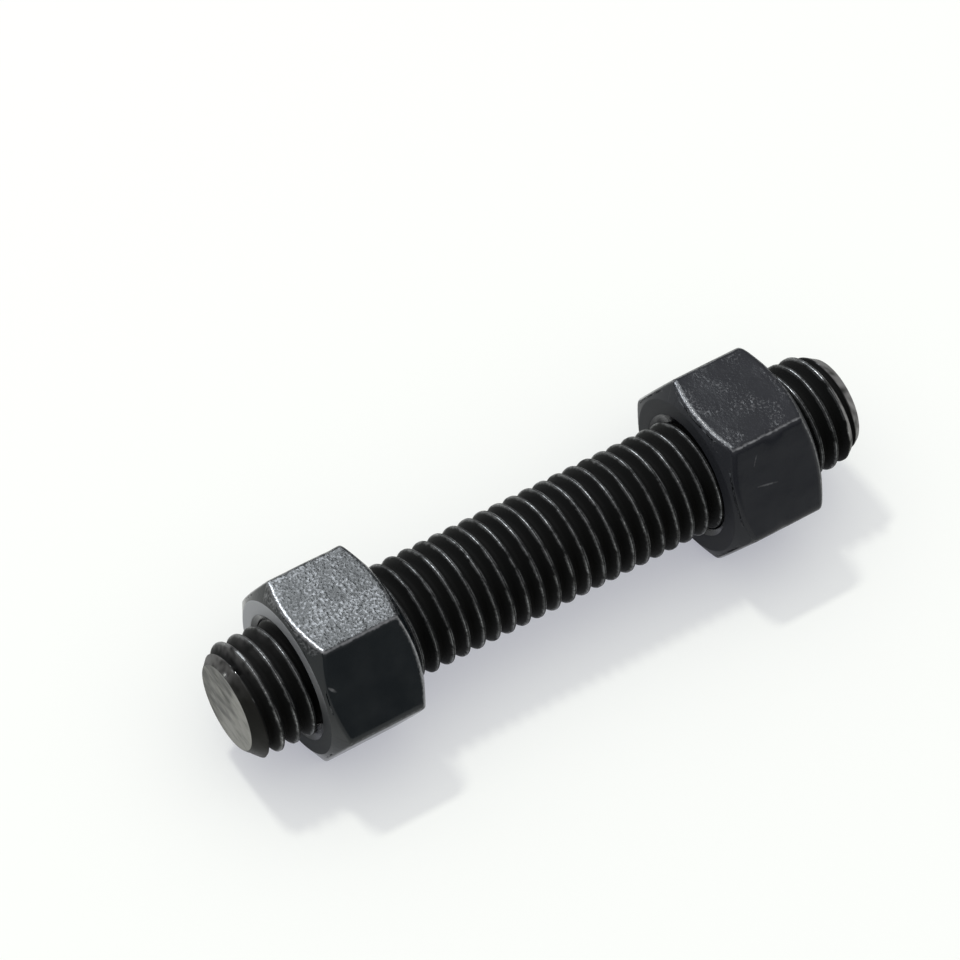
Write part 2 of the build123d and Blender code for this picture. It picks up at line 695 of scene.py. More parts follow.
@dataclass(frozen=True)
class ThreadWear:
    """Where the nuts, knocks and the bench wore the thread down to steel, which in places also stands in
    for a painted highlight.

    A level of 1 is bare steel. Patches are the mean and the swing of how evenly a wear lies.
    """

    # The nuts bear on the crests' outer shoulders, and run widest near the ends. The grey line there is
    # also a painted highlight, on the side where the light catches.
    outer_level: float = 0.95
    outer_width: float = 0.07 * MM
    outer_patches: tuple[float, float] = (0.8, 0.35)
    end_width: float = 0.12 * MM
    end_reach: float = 1.4 * MM
    inner_level: float = 0.8
    inner_width: float = 0.06 * MM
    inner_patches: tuple[float, float] = (0.3, 0.6)
    top_level: float = 0.27
    top_reach: float = 0.35 * MM
    # Knocks on the ends struck the crests' tops bright, and pushed up lips brighter still. Round the upper
    # back of the first turns the struck tops are also a painted highlight.
    knocked: WornArc = WornArc(0.95, 70.0, 48.0)
    knock_reach: float = 4.0 * MM
    knock_patches: tuple[float, float] = (0.75, 0.6)
    lip_level: float = 2.2
    # Scrapes dragged grey steel over the first turns and the chamfers. Round the near end's upper back that
    # grey is also a painted highlight.
    near_scrape_and_highlight: WornArc = WornArc(0.45, 58.0, 38.0)
    far_scrape: WornArc = WornArc(0.65, 150.0, 50.0)
    far_scrape_least: float = 0.35
    scrape_patches: tuple[float, float] = (0.75, 0.4)
    cone_share: float = 0.85
    drag_and_highlight_gain: float = 2.8
    drag_reach: float = 2.2 * MM

    def shoulders(
        self, across: np.ndarray, crest_half: float, inset: np.ndarray, angle: np.ndarray,
        burr: np.ndarray, runout: np.ndarray,
    ) -> np.ndarray:
        """Say how much the crests are worn, with a painted highlight along each crest's outer shoulder and
        on the first turns' knocked tops.

        Args:
            across: Distance along the axis from the middle of the nearest crest.
            crest_half: Half the crest's width.
            inset: Distance from the nearer end.
            angle: Angle about the axis.
            burr: Fine unevenness.
            runout: Coarse unevenness.

        Returns:
            The rub from 0 to 1.
        """
        width = self.outer_width + self.end_width * np.exp(-inset / self.end_reach)
        # Rub along the outer shoulder, partly a painted highlight line on the side where the light catches.
        outer = self.outer_level * bell(across, -crest_half, width) * uneven(burr, *self.outer_patches)
        patches = np.minimum(uneven(runout, *self.inner_patches), self.inner_level)
        inner = bell(across, crest_half, self.inner_width) * patches
        top = clamp(1.0 - np.abs(across) / self.top_reach)
        # Knocked tops round the upper back of the first turns, partly a painted highlight.
        knocked = top * np.exp(-inset / self.knock_reach) * uneven(burr, *self.knock_patches)
        return np.maximum.reduce([outer, inner, knocked * self.knocked.at(angle), top * self.top_level])

    def scrapes(
        self, near_end: np.ndarray, chamfer: np.ndarray, height: np.ndarray, inset: np.ndarray,
        angle: np.ndarray, burr: np.ndarray,
    ) -> np.ndarray:
        """Say how much the chamfers and the first turns are worn by scraping, with a painted highlight
        round the near end's upper back.

        Args:
            near_end: Whether a point lies in the near half.
            chamfer: From 0 to 1, how far the chamfer has cut the thread.
            height: Height up the thread, from 0 at the root to 1 at the crest.
            inset: Distance from the nearer end.
            angle: Angle about the axis.
            burr: Fine unevenness.

        Returns:
            The scrape from 0 to 1.
        """
        # Grey dragged over the near end's first turns, partly a painted highlight round their upper back.
        dragged_and_highlight = self.drag_and_highlight_gain * (1.0 - chamfer) * height * np.exp(-inset / self.drag_reach)
        near = self.near_scrape_and_highlight.at(angle) * np.maximum(self.cone_share * chamfer, dragged_and_highlight)
        far = (self.far_scrape_least + self.far_scrape.at(angle)) * chamfer
        return np.where(near_end, near, far) * uneven(burr, *self.scrape_patches)


@dataclass
class ThreadedStud:
    """The bar, threaded from end to end, with a chamfer and a sheared face at each end."""

    node: str = "stud"
    near_face_radius: float = 4.58 * MM
    far_face_radius: float = 4.7 * MM
    near_slope: float = 1.0
    far_slope: float = 0.6
    cone_waviness: float = 0.035 * MM
    cone_blend: float = 0.05 * MM
    crest_reach: float = 0.3 * MM
    crest_wear: float = 0.007 * MM
    # Rolling folds the two sides of a crest together and leaves a fine lap along its middle.
    lap_width: float = 0.05 * MM
    lap_depth: float = 0.02 * MM
    columns: int = 80
    # Wavy unevenness, each by its shortest and longest wave and its number of waves.
    burr_waves: tuple[float, float, int] = (0.6 * MM, 2.5 * MM, 30)
    runout_waves: tuple[float, float, int] = (1.0 * MM, 5.0 * MM, 16)
    dent_waves: tuple[float, float, int] = (1.2 * MM, 5.0 * MM, 14)
    # The grid is cut flat a little short of each end, and the rim and face close it.
    cut_inset: float = 0.1 * MM
    cut_slack: float = 2e-6
    cut_weld: float = 1e-7
    # The rim is rolled from the slope of the chamfer down to the face, by these leans.
    face_rounding: float = 0.12 * MM
    face_leans: tuple[float, ...] = (45.0, 30.0, 15.0, 0.0)
    face_rings: int = 22
    face_span: tuple[float, float] = (0.96, 0.04)
    face_hollow: float = 0.03 * MM
    face_dents: float = 0.6
    face_fade: float = 0.4 * MM
    fine_zone: float = 2.3 * MM
    struck_zone: float = 1.5 * MM
    # The shear burnished one side of each face and tore the other. The burnished side is drawn paler,
    # partly as a painted reflection.
    sheared_rim: float = 0.03 * MM
    burnish_and_reflection_toward: tuple[float, float] = (-0.95, -0.3)
    burnish_and_reflection_from: float = 0.4 * MM
    burnish_and_reflection_waviness: float = 1.0 * MM
    burnish_and_reflection_blend: float = 0.7 * MM
    cut_through: float = 0.9
    # How far down the oxide is as black as in the root, as a share of the pitch.
    root_share: float = 0.6
    wear: ThreadWear = ThreadWear()
    seed: int = 12
    nicks: tuple[Nick, ...] = (
        Nick(1.15 * MM, 87.3, 0.3 * MM, 0.45 * MM),
        Nick(1.35 * MM, 92.0, 0.26 * MM, 0.3 * MM),
        Nick(0.3 * MM, 87.5, 0.2 * MM, 0.12 * MM),
        Nick(1.3 * MM, 76.0, 0.3 * MM, 0.2 * MM),
    )
    lips: tuple[Nick, ...] = (
        Nick(1.02 * MM, 82.2, 0.17 * MM, -0.10 * MM),
        Nick(0.98 * MM, 91.4, 0.16 * MM, -0.09 * MM),
        Nick(0.16 * MM, 83.2, 0.2 * MM, -0.09 * MM),
        Nick(1.4 * MM, 95.0, 0.10 * MM, -0.05 * MM),
    )
    thread: ThreadForm = field(init=False)
    low_x: float = field(init=False)
    high_x: float = field(init=False)
    burr: WavyField = field(init=False)
    runout: WavyField = field(init=False)

    def __post_init__(self) -> None:
        """Take the bar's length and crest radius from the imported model."""
        low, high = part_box(self.node)
        self.low_x, self.high_x = low.x, high.x
        self.thread = ThreadForm(crest_radius=(high.z - low.z) / 2.0)
        self.burr = WavyField(self.seed, *self.burr_waves)
        self.runout = WavyField(self.seed + 1, *self.runout_waves)

    def inset(self, x: np.ndarray) -> np.ndarray:
        """Return the distance of places along the axis from the nearer end."""
        return np.minimum(x - self.low_x, self.high_x - x)

    def surface(self, x: np.ndarray, angle: np.ndarray) -> tuple[np.ndarray, np.ndarray]:
        """Give the bar's radius, thread and end chamfers together.

        Args:
            x: Places along the axis.
            angle: Angles about the axis.

        Returns:
            The radius at each point, and from 0 to 1 how far the chamfer has cut it.
        """
        across = self.thread.across(x, angle)
        skin = round_the_axis(x, self.near_face_radius, angle)
        rough = 1.0 + np.clip(self.burr.at(skin), -1.0, 1.0)
        crest = clamp(1.0 - np.abs(across) / self.crest_reach)
        lap = bell(across, 0.0, self.lap_width)
        radius = self.thread.crest_radius - self.thread.drop(np.abs(across))
        radius = radius - (crest * self.crest_wear + lap * self.lap_depth) * rough
        near_cone = self.near_face_radius + (x - self.low_x) * self.near_slope
        far_cone = self.far_face_radius + (self.high_x - x) * self.far_slope
        cone = np.minimum(near_cone, far_cone)
        cone = cone + clamp(self.inset(x) / self.face_fade) * self.cone_waviness * self.runout.at(skin)
        blend = self.cone_blend
        share = clamp(0.5 + (radius - cone) / (2.0 * blend))
        merged = radius * (1.0 - share) + cone * share - blend * share * (1.0 - share)
        for nick in self.nicks + self.lips:
            ahead = x - self.low_x - nick.inset
            turn = (angle - math.radians(nick.angle) + math.pi) % FULL_TURN - math.pi
            away = (ahead ** 2 + (turn * radius) ** 2) / nick.reach ** 2
            merged = merged - nick.depth * np.exp(-away)
        return merged, share

    def spot(self, nick: Nick) -> Vector:
        """Return where a nick lies on the near end's chamfer or first thread."""
        radius = min(self.near_face_radius + nick.inset * self.near_slope, self.thread.crest_radius)
        angle = math.radians(nick.angle)
        return Vector((self.low_x + nick.inset, radius * math.cos(angle), radius * math.sin(angle)))

    def wound_grid(self) -> tuple[np.ndarray, list[tuple[int, int, int, int]]]:
        """Wind a grid of rows that follow the helix, past both ends of the bar.

        Returns:
            Vertex places on the unit cylinder as (x, angle), and the grid's quads.
        """
        pitch, phase = self.thread.pitch, self.thread.phase
        across = self.thread.stations()
        # Whole turns to spare past both ends, because a row climbs one pitch as it goes round.
        first = math.floor((self.low_x - phase) / pitch) - 2
        last = math.ceil((self.high_x - phase) / pitch) + 1
        rows = np.concatenate([phase + turn * pitch + across for turn in range(first, last + 1)])
        angles = np.arange(self.columns) / self.columns * FULL_TURN
        x = rows[:, None] + pitch * angles[None, :] / FULL_TURN
        places = np.stack([x, np.broadcast_to(angles, x.shape)], -1).reshape(-1, 2)
        per_turn, count, columns = len(across), len(rows), self.columns
        quads = []
        for row in range(count - 1):
            for column in range(columns - 1):
                a = row * columns + column
                quads.append((a, a + 1, a + columns + 1, a + columns))
            if row + per_turn + 1 < count:
                a = row * columns + columns - 1
                b = (row + per_turn) * columns
                quads.append((a, b, b + columns, a + columns))
        return places, quads

    def build(self) -> bpy.types.Object:
        """Wind the thread, cut the ends, cap them and mark what was cut.

        Returns:
            The stud's mesh object.
        """
        places, quads = self.wound_grid()
        radius, _ = self.surface(places[:, 0], places[:, 1])
        stud = mesh_object("threaded_stud", round_the_axis(places[:, 0], radius, places[:, 1]), quads)
        work = bmesh.new()
        work.from_mesh(stud.data)
        cuts = {End.NEAR: self.low_x + self.cut_inset, End.FAR: self.high_x - self.cut_inset}
        for end, plane_x in cuts.items():
            bmesh.ops.bisect_plane(
                work, geom=work.verts[:] + work.edges[:] + work.faces[:], dist=self.cut_weld,
                plane_co=(plane_x, 0, 0), plane_no=(end.value, 0, 0), clear_outer=True,
            )
        struck = self.spot(self.nicks[0])
        self.refine(work, lambda v: self.inset(v.co.x) < self.fine_zone, 1)
        self.refine(work, lambda v: (v.co - struck).length < self.struck_zone, 2)
        self.settle(work)
        for end, plane_x in cuts.items():
            self.cap(work, end, plane_x)
        bmesh.ops.recalc_face_normals(work, faces=work.faces[:])
        work.to_mesh(stud.data)
        work.free()
        shade_smooth(stud.data)
        self.mark(stud)
        return stud

    def refine(
        self, work: bmesh.types.BMesh, near: Callable[[bmesh.types.BMVert], bool], cuts: int
    ) -> None:
        """Cut the grid finer in one zone.

        Args:
            work: The stud being built.
            near: Test that says whether a vertex is in the zone.
            cuts: Number of cuts across each edge.
        """
        zone = [edge for edge in work.edges if all(near(v) for v in edge.verts)]
        bmesh.ops.subdivide_edges(work, edges=zone, cuts=cuts, use_grid_fill=True)

    def settle(self, work: bmesh.types.BMesh) -> None:
        """Move every vertex of the cut and refined grid back onto the true surface."""
        places = np.array([v.co for v in work.verts])
        angle = np.arctan2(places[:, 2], places[:, 1])
        radius, _ = self.surface(places[:, 0], angle)
        for vertex, place in zip(work.verts, round_the_axis(places[:, 0], radius, angle)):
            vertex.co.yz = place[1:]

    def cap(self, work: bmesh.types.BMesh, end: End, plane_x: float) -> None:
        """Close one end with a rounded rim and a slightly uneven sheared face.

        Args:
            work: The stud being built.
            end: Which end it is.
            plane_x: Where the wound grid was cut.
        """
        rim = [v for v in work.verts if abs(v.co.x - plane_x) < self.cut_slack and v.is_boundary]
        rim.sort(key=lambda v: math.atan2(v.co.z, v.co.y))
        angles = np.array([math.atan2(v.co.z, v.co.y) for v in rim])
        face_x = self.low_x if end is End.NEAR else self.high_x
        face_radius = self.near_face_radius if end is End.NEAR else self.far_face_radius
        turn = self.face_rounding
        flat_radius = face_radius - turn * math.tan(math.radians(self.face_leans[0] / 2.0))
        rings = [
            (turn * (1 - math.cos(lean)), flat_radius + turn * math.sin(lean))
            for lean in np.radians(self.face_leans)
        ]
        rings += [(0.0, face_radius * share) for share in np.linspace(*self.face_span, self.face_rings)]
        dents = WavyField(self.seed + 3 + end.value, *self.dent_waves)
        previous = rim
        for inset, radius in rings:
            spots = round_the_axis(np.full(len(angles), face_x - end.value * inset), radius, angles)
            fade = min(1.0, (flat_radius - radius) / self.face_fade) if inset == 0.0 else 0.0
            hollow = self.face_hollow * max(fade, 0.0) * (1.0 + self.face_dents * dents.at(spots))
            spots[:, 0] -= end.value * np.clip(hollow, 0.0, None)
            ring = [work.verts.new(spot) for spot in spots]
            for i in range(len(ring)):
                j = (i + 1) % len(ring)
                work.faces.new((previous[i], previous[j], ring[j], ring[i]))
            previous = ring
        centre = work.verts.new(Vector((sum(v.co.x for v in previous) / len(previous), 0.0, 0.0)))
        for i in range(len(previous)):
            work.faces.new((previous[i], previous[(i + 1) % len(previous)], centre))

    def mark(self, stud: bpy.types.Object) -> None:
        """Write what the finish needs to know at each point.

        Args:
            stud: The stud's mesh object.
        """
        places = vertex_places(stud.data)
        x, y, z = places.T
        angle, inset = np.arctan2(z, y), self.inset(x)
        across = self.thread.across(x, angle)
        _, chamfer = self.surface(x, angle)
        burr, runout = self.burr.at(places), self.runout.at(places)
        sheared = (inset < self.cut_inset) & (np.hypot(y, z) < self.near_face_radius - self.sheared_rim)
        height = clamp(1.0 - self.thread.drop(np.abs(across)) / (self.root_share * self.thread.pitch))
        shoulder = self.wear.shoulders(across, self.thread.crest_half, inset, angle, burr, runout)
        # Halfway into the chamfer's cut, where this reaches 1, a crest has a ragged bright edge.
        feather = 4.0 * chamfer * (1.0 - chamfer) * clamp(burr)
        worn = np.maximum(shoulder * (1.0 - chamfer), feather)
        shoulder = np.where(chamfer > self.cut_through, 0.0, worn)
        for lip in self.lips:
            away = ((places - np.array(self.spot(lip))) ** 2).sum(1)
            shoulder = np.maximum(shoulder, self.wear.lip_level * np.exp(-away / lip.reach ** 2))
        scraped = self.wear.scrapes(x < 0.0, chamfer, height, inset, angle, burr)
        # The paler side of each sheared face, towards -Y and -Z, partly burnish and partly a painted
        # reflection.
        burnish_and_reflection_side = self.burnish_and_reflection_toward[0] * y + self.burnish_and_reflection_toward[1] * z - self.burnish_and_reflection_from
        burnish_and_reflection_side = burnish_and_reflection_side + self.burnish_and_reflection_waviness * runout
        store(stud, {
            "shoulder": np.where(sheared, 0.0, shoulder),
            "chamfer": chamfer,
            "height": height,
            "scraped": np.where(sheared, 0.0, scraped),
            "sheared": sheared,
            "burnished": soft_step(burnish_and_reflection_side / self.burnish_and_reflection_blend),
        })

    def dress(self, stud: bpy.types.Object) -> None:
        """Give the stud its finish and say what it rides on and stands for."""
        stud.data.materials.append(RolledThreadOxide().material())
        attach(stud, "stud")
        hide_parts(self.node)


@dataclass(frozen=True)
class FlatRub:
    """Where a rub mark lies on one of a nut's flats."""

    side: float
    along: float
    up: float
    lean: float
    length: float
    width: float
    weight: float


@dataclass
class Section:
    """A nut's section at every column: rows of (x, r) points that go once round it.

    Each point carries its distance from the nearest edge that rubs, clear where none is near.
    """

    columns: int
    clear: float = 1.0 * MM
    rows: list[np.ndarray] = field(default_factory=list)
    gaps: list[np.ndarray] = field(default_factory=list)

    def ring(self, x: Any, r: Any) -> np.ndarray:
        """Pair a place along the axis with a radius for every column."""
        return np.stack([np.broadcast_to(value, self.columns) for value in (x, r)], 1).astype(float)

    def lay(self, points: np.ndarray, gap: Any = None) -> None:
        """Add one row of points and how far it is from the nearest edge."""
        self.rows.append(points)
        self.gaps.append(np.broadcast_to(self.clear if gap is None else gap, self.columns).astype(float))


@dataclass
class HexNut:
    """A hot forged hexagon nut, chamfered on both faces and tapped to run on the stud.

    A tuple of six goes round the nut, from its top flat or the corner after that flat. The
    corners' roundings are in millimetres, and wear and skin are shares of the most there is.
    """

    node: str
    thread: ThreadForm
    seed: int
    rubs: tuple[FlatRub, ...]
    skin: tuple[float, ...]
    low_rim_wear: tuple[float, ...]
    high_rim_wear: tuple[float, ...]
    corner_wear: tuple[float, ...]
    corners: tuple[float, ...]
    oxide: str
    gloss: float
    raggedness: float
    edge_width: float
    turned_by: float = 0.0
    # Bare steel on the faces' upper part, partly a painted reflection.
    face_wear_and_reflection: float = 0.0
    patchiness: float = 0.08
    dull_chamfer: float = 0.0
    face_inset: float = 0.7 * MM
    face_rows: tuple[float, ...] = (0.3, 0.6, 0.85)
    face_depth: float = 0.03 * MM
    chamfer_angle: float = 30.0
    chamfer_rows: tuple[float, ...] = (0.3, 0.5, 0.7)
    chamfer_gap: float = 0.6 * MM
    chamfer_share: float = 0.9
    flat_rounding: float = 0.5 * MM
    flat_chords: int = 8
    rim_rounding: float = 0.25 * MM
    rim_chords: int = 3
    mouth_radius: float = 6.68 * MM
    mouth_angle: float = 30.0
    mouth_rounding: float = 0.1 * MM
    mouth_rise: float = 0.346 * MM
    mouth_run: float = 0.6 * MM
    minor_radius: float = 5.06 * MM
    thread_play: float = 0.07 * MM
    columns_per_side: int = 46
    column_bunching: float = 0.25
    rows_along: int = 46
    row_bunching: float = 0.6
    bore_rows: int = 92
    bore_inset: float = 0.05 * MM
    # Forging leaves broad waves and pebbles, which fade out over this depth at the faces.
    forged_fade: float = 0.35 * MM
    waves: tuple[float, float] = (3.0 * MM, 9.0 * MM)
    wave_depth: float = 0.008 * MM
    pebbles: tuple[float, float, int] = (0.8 * MM, 1.8 * MM, 40)
    pebble_depth: float = 0.0015 * MM
    patches: tuple[float, float] = (2.0 * MM, 6.0 * MM)
    patch_swing: float = 0.5
    # Nicks from tumbling, by their number, place, reach, and depth as a share of the reach.
    nicks: int = 16
    nick_inset: float = 0.1 * MM
    nick_span: tuple[float, float] = (-0.85, 0.85)
    nick_reach: tuple[float, float] = (0.25, 0.6)
    nick_depth: tuple[float, float] = (0.08, 0.2)
    # Hands and the bench rubbed the upper front part of each face. That bare steel also stands in for a
    # painted reflection that lightens the face's upper part.
    handled_and_reflection_toward: tuple[float, float, float] = (0.0, 0.6, 0.8)
    handled_and_reflection_blend: float = 2.5 * MM
    middle_x: float = field(init=False)
    half_height: float = field(init=False)
    half_flats: float = field(init=False)
    face_radius: float = field(init=False)

    def __post_init__(self) -> None:
        """Take the nut's place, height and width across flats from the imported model.

        A nut that stands turned is drawn smaller, to keep its corners inside the model's box.
        """
        low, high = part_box(self.node)
        self.middle_x = (low.x + high.x) / 2.0
        self.half_height = (high.x - low.x) / 2.0
        rounding = self.corners[0] * MM
        shrink = math.sin(SIDE) / math.sin(math.radians(SIDE_DEGREES + abs(self.turned_by)))
        self.half_flats = rounding + (high.z - rounding) * shrink
        self.face_radius = self.half_flats - self.face_inset

    def side_angles(self) -> np.ndarray:
        """List the columns' angles, closer together round the six corners."""
        share = np.linspace(-1.0, 1.0, self.columns_per_side + 1)[:-1]
        bunching = self.column_bunching
        within = HALF_SIDE * ((1.0 + bunching) * share - bunching * share ** 3)
        middles = [math.radians(TOP_FLAT_DEGREES + SIDE_DEGREES * side) for side in range(SIDES)]
        return np.concatenate([middle + within for middle in middles])

    def hexagon(self, angles: np.ndarray) -> tuple[np.ndarray, np.ndarray]:
        """Give the rounded hexagon's radius and the distance from its nearest corner.

        Args:
            angles: Angles about the axis.

        Returns:
            Radius of the outline, and distance round it from the nearest corner.
        """
        off = np.mod(angles - TOP_FLAT + HALF_SIDE, SIDE) - HALF_SIDE
        corner = np.floor((angles - TOP_FLAT) / SIDE).astype(int) % SIDES
        rounding = np.array(self.corners)[corner] * MM
        straight = self.half_flats - rounding
        centre = straight / math.cos(HALF_SIDE)
        from_corner = HALF_SIDE - np.abs(off)
        inside = np.clip(rounding ** 2 - (centre * np.sin(from_corner)) ** 2, 0.0, None)
        arc = centre * np.cos(from_corner) + np.sqrt(inside)
        along = self.half_flats * np.tan(np.abs(off))
        radius = np.where(along > straight * math.tan(HALF_SIDE), arc, self.half_flats / np.cos(off))
        return radius, self.half_flats * math.tan(HALF_SIDE) - along

    def lay_outside(self, section: Section, outline: np.ndarray, fall: np.ndarray) -> None:
        """Lay the rows from one mouth of the bore, over face and flats, to the other mouth.

        Args:
            section: The section being laid.
            outline: The hexagon's radius at each column.
            fall: How far along the axis the chamfer reaches at each column.
        """
        half = self.half_height
        flip = np.array([-1.0, 1.0])
        bore = section.ring(half - self.mouth_rise, self.mouth_radius - self.mouth_run)
        mouth = section.ring(half, self.mouth_radius)
        rim = section.ring(half, self.face_radius)
        shoulder = section.ring(half - fall, outline)
        for points in rounded_corner(bore, mouth, rim, self.mouth_rounding, self.rim_chords):
            section.lay(points)
        for share in self.face_rows:
            section.lay(mouth + (rim - mouth) * share)
        for points in rounded_corner(mouth, rim, shoulder, self.rim_rounding, self.rim_chords):
            section.lay(points)
        for share in self.chamfer_rows:
            section.lay(rim + (shoulder - rim) * share, self.chamfer_gap)
        bend = self.flat_rounding * math.radians(90.0 - self.chamfer_angle)
        turned = rounded_corner(rim, shoulder, shoulder * flip, self.flat_rounding, self.flat_chords)
        for step, points in enumerate(turned):
            section.lay(points, abs(step / self.flat_chords - 0.5) * bend)
        one_end = list(zip(section.rows, section.gaps))
        last = section.rows[-1]
        for step in range(1, self.rows_along):
            bunched = 0.5 - 0.5 * math.cos(math.pi * step / self.rows_along)
            share = self.row_bunching * bunched + (1.0 - self.row_bunching) * step / self.rows_along
            points = last * (1 - share) + last * flip * share
            section.lay(points, 0.5 * bend + last[:, 0] - np.abs(points[:, 0]))
        for points, gap in reversed(one_end):
            section.lay(points * flip, gap)

    def lay_bore(self, section: Section, angles: np.ndarray) -> None:
        """Lay the rows back through the bore, tapped, with a countersink at each mouth.

        Args:
            section: The section being laid.
            angles: The columns' angles about the stud, which the thread goes by.
        """
        depth = self.half_height - self.bore_inset
        slope = math.tan(math.radians(self.mouth_angle))
        for x in np.linspace(-depth, depth, self.bore_rows):
            tapped = self.thread.radius(self.middle_x + x, angles) + self.thread_play
            cone = self.mouth_radius - (self.half_height - abs(x)) / slope
            section.lay(section.ring(x, np.maximum(np.maximum(tapped, self.minor_radius), cone)))

    def build(self) -> bpy.types.Object:
        """Draw one section of the nut at each angle and join them into a closed ring.

        Returns:
            The nut's mesh object.
        """
        nominal = self.side_angles()
        angles = nominal - math.radians(self.turned_by)
        outline, corner_gap = self.hexagon(nominal)
        fall = (outline - self.face_radius) * math.tan(math.radians(self.chamfer_angle))
        section = Section(len(angles))
        self.lay_outside(section, outline, fall)
        self.lay_bore(section, angles)
        x, r = np.moveaxis(np.stack(section.rows), 2, 0)
        forged = clamp((r.ravel() - self.face_radius) / self.forged_fade)
        points = self.forge(round_the_axis(self.middle_x + x, r, angles), forged)
        count = len(angles)
        around = np.arange(count)
        onward = (around + 1) % count
        faces = []
        for row in range(len(x)):
            a, b = row * count, ((row + 1) % len(x)) * count
            faces.extend(zip(a + around, b + around, b + onward, a + onward))
        nut = mesh_object(self.node + "_forged", points, faces)
        off_face = self.half_height - np.abs(x)
        side = np.round((nominal - TOP_FLAT) / SIDE).astype(int) % SIDES
        corner = np.floor((nominal - TOP_FLAT) / SIDE).astype(int) % SIDES
        rim_wear = np.where(x < 0.0, np.array(self.low_rim_wear)[side], np.array(self.high_rim_wear)[side])
        corner_wear = np.array(self.corner_wear)[corner] * (off_face > fall)
        edge = np.maximum(
            rim_wear * np.exp(-np.stack(section.gaps) / self.edge_width),
            corner_wear * np.exp(-np.maximum(corner_gap, 0.0) / self.edge_width),
        )
        patches = 1.0 + self.patch_swing * WavyField(self.seed + 5, *self.patches).at(points)
        patches = np.clip(patches, 1.0 - self.patchiness, 1.0 + self.patchiness)
        on_face = np.abs(np.abs(points[:, 0] - self.middle_x) - self.half_height) < self.face_depth
        # The face's bare upper part, partly a painted reflection.
        handled = soft_step(points @ np.array(self.handled_and_reflection_toward) / self.handled_and_reflection_blend)
        chamfered = (off_face < self.chamfer_share * fall) & (r > self.face_radius)
        store(nut, {
            "edge": edge.ravel(),
            "pebbled": forged * np.tile(np.array(self.skin)[side], len(x)) * patches,
            "turned": np.maximum(on_face, chamfered.ravel() * self.dull_chamfer),
            "handled": on_face * handled,
        })
        return nut

    def forge(self, points: np.ndarray, share: np.ndarray) -> np.ndarray:
        """Give the flats and chamfers the unevenness of forging and the nicks of tumbling.

        Args:
            points: Vertex places, one row each.
            share: From 0 to 1, how much of the unevenness each point takes.

        Returns:
            The places moved inwards, never outwards.
        """
        wave = 1.0 + np.clip(WavyField(self.seed, *self.waves).at(points), -1.0, 1.0)
        pebbles = WavyField(self.seed + 1, *self.pebbles).at(points)
        depth = self.wave_depth * wave + self.pebble_depth * (1.0 + np.clip(pebbles, -1.0, 1.0))
        rng = np.random.default_rng(self.seed + 2)
        corner_radius = self.half_flats / math.cos(HALF_SIDE) - self.nick_inset
        for _ in range(self.nicks):
            corner = math.radians(SIDE_DEGREES * rng.integers(SIDES) - self.turned_by)
            along = self.middle_x + self.half_height * rng.uniform(*self.nick_span)
            middle = np.array([along, corner_radius * math.cos(corner), corner_radius * math.sin(corner)])
            reach = rng.uniform(*self.nick_reach) * MM
            near = np.exp(-((points - middle) ** 2).sum(1) / reach ** 2)
            depth = depth + near * reach * rng.uniform(*self.nick_depth)
        inward = points * np.array([0.0, 1.0, 1.0])
        inward /= np.linalg.norm(inward, axis=1)[:, None]
        return points - inward * (depth * share)[:, None]

    def scuffs(self) -> tuple[Scuff, ...]:
        """Lay each rub mark on its flat.

        Returns:
            The marks in the shared frame.
        """
        marks = []
        for rub in self.rubs:
            side, lean = math.radians(rub.side - self.turned_by), math.radians(rub.lean)
            normal = Vector((0.0, math.cos(side), math.sin(side)))
            climb = Vector((0.0, -math.sin(side), math.cos(side)))
            if climb.z < 0.0:
                climb.negate()
            middle = normal * self.half_flats + climb * rub.up
            middle.x += self.middle_x + rub.along
            direction = Vector((math.cos(lean), 0.0, 0.0)) + climb * math.sin(lean)
            marks.append(Scuff(middle, direction, rub.length, rub.width, rub.weight))
        return tuple(marks)

    def dress(self, nut: bpy.types.Object) -> None:
        """Give the nut its finish and say what it rides on and stands for."""
        finish = ForgedOxide(
            self.node + "_black_oxide", self.scuffs(), self.oxide, self.gloss, self.face_wear_and_reflection,
            self.raggedness,
        )
        nut.data.materials.append(finish.material())
        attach(nut, self.node)
        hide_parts(self.node)


# ---- Studio ----

class LightShape(Enum):
    """The outlines that the studio's lights have, by Blender's names for them."""

    OVAL = "ELLIPSE"
    OBLONG = "RECTANGLE"


